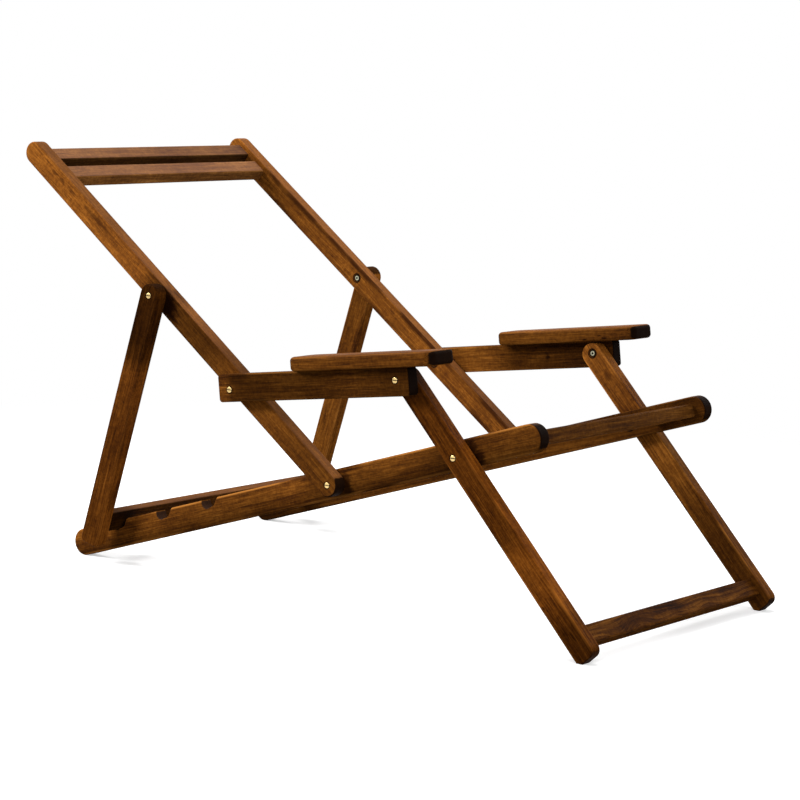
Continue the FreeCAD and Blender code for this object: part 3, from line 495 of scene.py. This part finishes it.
# The order of the timbers gives each its own shift of the grain
LOOKS = {
    "seat_rail_right": {
        "sides": ((0, 0.95), (0.12, 0.85), (0.18, 0.8), (0.27, 1.15), (0.36, 0.95), (0.44, 1.0), (0.5, 1.5),
                  (0.56, 1.0), (0.76, 1.0), (0.86, 1.35), (1, 1.5)),
        "lift": 0.6, "unders": 1.6, "ends": (0.97, 0.0), "arrises": (0.004, 0.75, WORN_AND_HIGHLIGHT),
        "notched": True, "rings": RAIL_RINGS,
        # Painted shadows: the first two marks are cast by the leg, the third by the stile's low end
        "marks": ((-0.341, 0.007, 0.009, 0.012, 0.75), (-0.35, -0.009, 0.011, 0.014, 0.8),
                  (-0.105, -0.002, 0.012, 0.022, 0.75))},
    "seat_rail_left": {
        "sides": ((0, 0.6), (0.15, 0.75), (0.35, 0.9), (0.7, 0.8), (0.82, 0.6), (0.92, 0.35), (1, 0.3)),
        "ends": (0.9, 0.3), "notched": True, "rings": RAIL_RINGS},
    "back_stile_right": {
        **STILE, "arrises": (0.0045, 0.35, KNOT_AND_SHADOW), "ends": (0.95, 0.0), "end_start": 0.1,
        "sides": ((0, 1.05), (0.15, 1.25), (0.25, 1.6), (0.32, 1.2), (0.4, 0.65), (0.52, 0.65), (0.58, 1.0),
                  (0.62, 2.4), (0.75, 2.0), (1, 2.1)),
        "uppers": ((0, 1.6), (0.12, 1.3), (0.18, 0.85), (0.3, 0.85), (0.36, 1.0), (0.42, 1.5), (0.47, 1.6),
                   (0.52, 1.15), (0.57, 1.6), (0.64, 1.8), (0.72, 1.3), (1, 1.3)),
        # The last mark is a painted shadow cast by the prop's top
        "marks": ((0.323, 0.0055, 0.009, 0.0035, 0.5), (0.303, 0.006, 0.008, 0.0035, 0.6),
                  (0.276, 0.005, 0.01, 0.003, 0.6), (0.205, 0.006, 0.042, 0.0045, 0.65),
                  (0.024, -0.001, 0.034, 0.026, 0.95))},
    "back_stile_left": {
        **STILE, "arrises": (0.012, 0.9, KNOT_AND_SHADOW), "ends": (0.3, 0.0),
        "sides": ((0, 2.3), (0.25, 2.5), (0.5, 2.0), (0.7, 1.85), (0.8, 1.5), (0.89, 1.2), (0.93, 1.5),
                  (0.97, 2.3), (1, 2.3)),
        "uppers": ((0, 1.3), (0.12, 1.3), (0.22, 1.5), (0.42, 1.45), (0.54, 1.65), (0.65, 1.85), (0.76, 1.65),
                   (0.88, 1.6), (1, 1.9))},
    "leg_right": {
        "sides": ((0, 0.45), (0.1, 0.55), (0.2, 1.3), (0.33, 1.35), (0.41, 0.8), (0.5, 0.8), (0.6, 0.85), (1, 0.85)),
        "uppers": ((0, 0.8), (0.12, 0.9), (0.2, 1.9), (0.5, 1.9), (0.6, 1.5), (0.75, 1.6), (0.85, 1.1), (1, 0.5)),
        "tint": (1.0, 0.87, 0.7), "arrises": (0.005, 0.5, WORN_AND_HIGHLIGHT), "ends": (0.4, 0.2), "rings": LEG_RINGS,
        "marks": ((-0.154, -0.014, 0.004, 0.004, 0.8), (-0.212, 0.003, 0.012, 0.002, 0.7),
                  (-0.2, -0.004, 0.012, 0.0015, 0.6))},
    "leg_left": {
        "sides": ((0, 1.0), (0.2, 0.7), (0.35, 0.85), (0.5, 1.3), (0.65, 1.6), (0.77, 1.75), (0.9, 2.0), (1, 1.9)),
        "uppers": ((0, 1.4), (0.3, 1.45), (0.42, 1.3), (0.5, 0.85), (0.6, 0.85), (0.72, 1.6), (0.85, 2.6), (1, 2.6)),
        "ends": (0.9, 0.2), "rings": LEG_RINGS, "marks": ((0.187, 0.003, 0.012, 0.007, 0.5),)},
    "arm_board_right": {"sides": ((0, 1.1),), "uppers": ((0, 1.3),), "painted_sheen": 0.1},
    "arm_board_left": {
        "sides": ((0, 1.0),), "uppers": ((0, 1.4),), "painted_sheen": 0.1,
        "marks": ((-0.068, -0.002, 0.005, 0.0015, 0.9), (-0.076, -0.006, 0.005, 0.0018, 0.9),
                  (-0.04, -0.007, 0.004, 0.0018, 0.9))},
    "prop_right": {
        "sides": ((0, 0.3), (0.2, 0.25), (0.27, 0.38), (0.34, 1.0), (0.6, 0.9), (1, 0.75)), "unders": 1.9,
        "arrises": (0.0032, 0.1, WORN_AND_HIGHLIGHT), "tint": (1.0, 0.9, 0.8), "ends": (0.4, 0.3), "rings": PROP_RINGS},
    "prop_left": {"sides": ((0, 1.4), (1, 1.2)), "unders": 1.5, "ends": (0.8, 0.3), "rings": PROP_RINGS},
    "arm_rail_right": {
        "sides": ((0, 0.45), (0.1, 0.5), (0.3, 0.7), (0.45, 0.5), (0.85, 0.45), (0.93, 0.55), (0.96, 1.15), (1, 1.15)),
        "rings": ARM_RINGS},
    "arm_rail_left": {
        "sides": ((0, 0.42), (0.3, 0.52), (0.54, 0.72), (0.67, 1.4), (0.78, 1.5), (0.92, 0.8), (1, 0.75)),
        "rings": ARM_RINGS, "marks": ((-0.0535, -0.001, 0.0055, 0.0055, 0.9),)},
    "front_slat_fore": FRONT_SLAT,
    "front_slat_rear": FRONT_SLAT,
    "top_slat_lower": {
        **TOP_SLAT, "uppers": ((0, 1.67),), "sides": ((0, 1.7), (0.15, 1.95), (0.4, 1.95), (0.6, 1.75), (1, 1.6))},
    "top_slat_upper": {**TOP_SLAT, "uppers": ((0, 1.8), (0.3, 1.52), (1, 1.2)), "sides": ((0, 0.45),)},
    "foot_rail": {"sides": ((0, 0.8),), "uppers": ((0, 0.8),), "wander": (0.035, 2.2), "figure": 1.3},
    "prop_bar": {
        "sides": ((0, 0.2), (0.085, 0.22), (0.12, 0.6), (0.88, 0.6), (0.915, 0.22), (1, 0.2)),
        "uppers": ((0, 0.5), (0.085, 0.6), (0.12, 1.0), (0.88, 1.0), (0.915, 0.6), (1, 0.5)), "painted_sheen": 0.25}}

# Turned metal: cells in a metre of its clouds and turning marks; where a cloud dulls it, how much, and how dark it
# is then, which is also the tone of the shade painted in its hollows; how much its roughness varies; and the strength
# and depth in metres of the marks
CLOUD_CELLS = 220
TURNING_CELLS = 1500
CLOUD_DULLS = (0.45, 0.8)
CLOUD_STRENGTH = 0.4
DULL_AND_SHADE_SHARE = 0.14
UNEVEN_POLISH = 0.15
TURNING_MARKS = 0.15
TURNING_DEPTH = 0.0002


def metal(name, finish, node=None, hollow=None):
    """Turned metal with fine marks and dulled clouds, with painted shade in the hollow of the piece given."""
    tone, roughness = finish
    g = Graph(bpy.data.materials.new(name))
    place = g.node("ShaderNodeTexCoord", out="Object")
    cloud = g.noise(place, scale=CLOUD_CELLS, detail=3)
    turning = g.noise(place, scale=TURNING_CELLS, detail=2)
    dull_and_shade = g.step(cloud, *CLOUD_DULLS) * CLOUD_STRENGTH
    # Painted shade in a bolt's slot and a nut's socket, in the dark tone of the dull clouds
    if hollow:
        dull_and_shade = dull_and_shade + hollow(g, place, mesh_points(node))
    colour = g.lay(dull_and_shade, linear(tone), darker(tone, DULL_AND_SHADE_SHARE))
    bump = g.node("ShaderNodeBump", None, {"Strength": TURNING_MARKS, "Distance": TURNING_DEPTH, "Height": turning})
    return g.finish(Base_Color=colour, Metallic=1.0, Roughness=(cloud - 0.5) * UNEVEN_POLISH + roughness, Normal=bump)


# Painted shade in a bolt's slot: half its width, and how far below the head's top. Painted shade in a nut's socket and
# at
# its outer edge: radius, how far in from the face, and the edge's strength. Each as where it sets in and where it is
# full, in metres.
SLOT_WIDTH = (0.0009, 0.0006)
SLOT_BELOW = (0.0002, 0.0005)
SOCKET_RADIUS = (0.0021, 0.0018)
SOCKET_IN = (0.0001, 0.0005)
NUT_EDGE = (0.0033, 0.0039)
NUT_EDGE_SHADE = 0.8


def shaded_slot(g, place, points):
    """Mask of the painted shade in the slot across a bolt's head, on both sides of the chair."""
    x, _, z = g.split(place)
    top = abs(points[:, 0]).max()
    across = g.step(g.size_of(z - centre(points[:, 2])), *SLOT_WIDTH)
    return across * g.step(g.size_of(x), *(top - below for below in SLOT_BELOW))


def shaded_socket(g, place, points):
    """Mask of the painted shade in the socket in a nut's face and at the nut's edge, on both sides of the chair."""
    x, y, z = g.split(place)
    face = abs(points[:, 0]).min()
    radius = g.length(g.vector(0.0, y - centre(points[:, 1]), z - centre(points[:, 2])))
    socket = g.step(radius, *SOCKET_RADIUS) * g.step(g.size_of(x), *(face + inward for inward in SOCKET_IN))
    return socket + g.step(radius, *NUT_EDGE) * NUT_EDGE_SHADE


# Dowels: cells in a metre of the beech's flecks, how dark a fleck is, and the roughness
FLECK_CELLS = 900
FLECK_SHARE = 0.8
SAWN = 0.6


def dowel_wood():
    """Pale beech of the blind dowels."""
    g = Graph(bpy.data.materials.new("dowel_beech"))
    fleck = g.noise(g.node("ShaderNodeTexCoord", out="Object"), scale=FLECK_CELLS, detail=2)
    colour = g.lay(fleck, linear(BEECH), darker(BEECH, FLECK_SHARE))
    return g.finish(Base_Color=colour, Roughness=SAWN)


def dress(node, material):
    """Give a construction piece its finish."""
    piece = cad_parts[node]
    if not piece.material_slots:
        piece.data.materials.append(material)
    for slot in piece.material_slots:
        slot.material = material


def dress_chair():
    """Give every timber its own stain, and every fastener and dowel its finish."""
    for seed, (name, look) in enumerate(LOOKS.items(), 1):
        dress(name, StainedTimber(name, {**PLAIN, **look}, seed).surface())
    steel = metal("washer_steel", STEEL)
    beech = dowel_wood()
    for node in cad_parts:
        if "dowels" in node:
            dress(node, beech)
        elif "washer" in node:
            dress(node, steel)
        elif "nut" in node:
            dress(node, metal(f"nickel_{node}", NICKEL, node, shaded_socket))
        elif "bolt" in node or "screw" in node:
            dress(node, metal(f"brass_{node}", BRASS, node, shaded_slot))


def add_camera():
    """Camera that sees the chair as the photograph does."""
    data = bpy.data.cameras.new("camera")
    data.lens = CAMERA_LENS
    data.sensor_width = CAMERA_SENSOR
    data.shift_x, data.shift_y = CAMERA_SHIFT
    data.clip_end = CAMERA_REACH
    camera = bpy.data.objects.new("camera", data)
    right = CAMERA_FORWARD.cross(CAMERA_UP).normalized()
    up = right.cross(CAMERA_FORWARD).normalized()
    turn = Matrix((right, up, -CAMERA_FORWARD.normalized())).transposed()
    camera.matrix_world = Matrix.Translation(CAMERA_PLACE) @ turn.to_4x4()
    bpy.context.scene.collection.objects.link(camera)
    bpy.context.scene.camera = camera


def add_lamp(name, place, width, power):
    """Square soft lamp aimed at the chair's middle."""
    data = bpy.data.lights.new(name, "AREA")
    data.energy = power
    data.size = width
    lamp = bpy.data.objects.new(name, data)
    lamp.location = place
    lamp.rotation_mode = "QUATERNION"
    lamp.rotation_quaternion = (Vector(CHAIR_MIDDLE) - Vector(place)).to_track_quat("-Z", "Y")
    bpy.context.scene.collection.objects.link(lamp)


def add_floor():
    """White floor that keeps the chair's shadow and fades into the white behind it."""
    bpy.ops.mesh.primitive_circle_add(vertices=FLOOR_SIDES, radius=FLOOR_RADIUS, fill_type="NGON", location=(0, 0, 0))
    floor = bpy.context.active_object
    floor.name = "floor"
    g = Graph(bpy.data.materials.new("floor_white"))
    lit = g.node("ShaderNodeBsdfDiffuse", None, {"Color": FLOOR_PALE})
    bounce = g.node("ShaderNodeBsdfDiffuse", None, {"Color": FLOOR_BOUNCE})
    glow = g.node("ShaderNodeEmission", None, {"Color": WHITE, "Strength": FLOOR_GLOW})
    white = g.node("ShaderNodeEmission", None, {"Color": WHITE, "Strength": 1.0})
    near = g.node("ShaderNodeAddShader", None, {0: lit, 1: glow})
    distance = g.length(g.node("ShaderNodeTexCoord", out="Object"))
    shown = g.node("ShaderNodeMixShader", None, {0: g.step(distance, *FLOOR_FADES), 1: near, 2: white})
    surface = g.node("ShaderNodeMixShader", None, {0: seen_directly(g), 1: bounce, 2: shown})
    floor.data.materials.append(g.close(surface))


def seen_directly(g):
    """1 for rays from the camera, from a glossy surface or through a clear one."""
    seen = camera = g.node("ShaderNodeLightPath", out="Is Camera Ray")
    for name in ("Is Glossy Ray", "Is Transmission Ray"):
        seen = g.node("ShaderNodeMath", {"operation": "MAXIMUM"}, {0: seen, 1: camera.output(name)})
    return seen


def add_world():
    """Even white surroundings."""
    g = Graph(bpy.data.worlds.new("studio"))
    level = seen_directly(g) * (1.0 - SURROUND) + SURROUND
    background = g.node("ShaderNodeBackground", None, {"Color": WHITE, "Strength": level})
    bpy.context.scene.world = g.close(background, "ShaderNodeOutputWorld")


dress_chair()
add_camera()
add_floor()
add_world()
for lamp in LAMPS:
    add_lamp(*lamp)
bpy.context.scene.view_settings.view_transform = "Standard"
